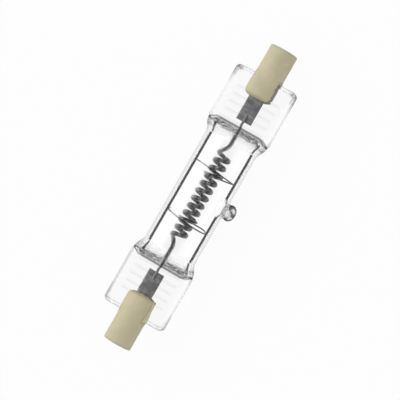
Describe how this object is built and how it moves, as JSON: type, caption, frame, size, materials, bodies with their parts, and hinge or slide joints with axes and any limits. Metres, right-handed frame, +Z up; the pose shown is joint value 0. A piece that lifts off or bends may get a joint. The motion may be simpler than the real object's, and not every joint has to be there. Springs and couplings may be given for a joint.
{
  "type": "linear halogen bulb",
  "caption": "Double-ended linear halogen bulb: clear quartz tube with ribbed pinch seals, coiled filament on wire supports, exhaust tip, and slotted ceramic caps with recessed contacts.",
  "frame": {"origin": "light centre, on the lamp's axis half way between the caps", "axes": "+X along the lamp to the right cap, +Y away from the exhaust tip, +Z up, square to the flat pinches"},
  "size_m": [0.078, 0.0173, 0.0132],
  "materials": {
    "quartz": "clear, polished",
    "tungsten": "satin, close-wound wire",
    "support_wire": "bright drawn wire",
    "molybdenum": "satin foil and wire",
    "nickel": "satin plated button",
    "steatite": "matt, unglazed",
    "cement": "rough, dry"
  },
  "bodies": {
    "root": {"quartz_envelope": "quartz", "filament": "tungsten", "left_support": "support_wire", "right_support": "support_wire", "left_inner_lead": "molybdenum", "right_inner_lead": "molybdenum", "left_foil": "molybdenum", "right_foil": "molybdenum", "left_outer_lead": "molybdenum", "right_outer_lead": "molybdenum", "left_contact": "nickel", "right_contact": "nickel", "left_cap": "steatite", "right_cap": "steatite", "left_cement": "cement", "right_cement": "cement"}
  },
  "joints": []
}
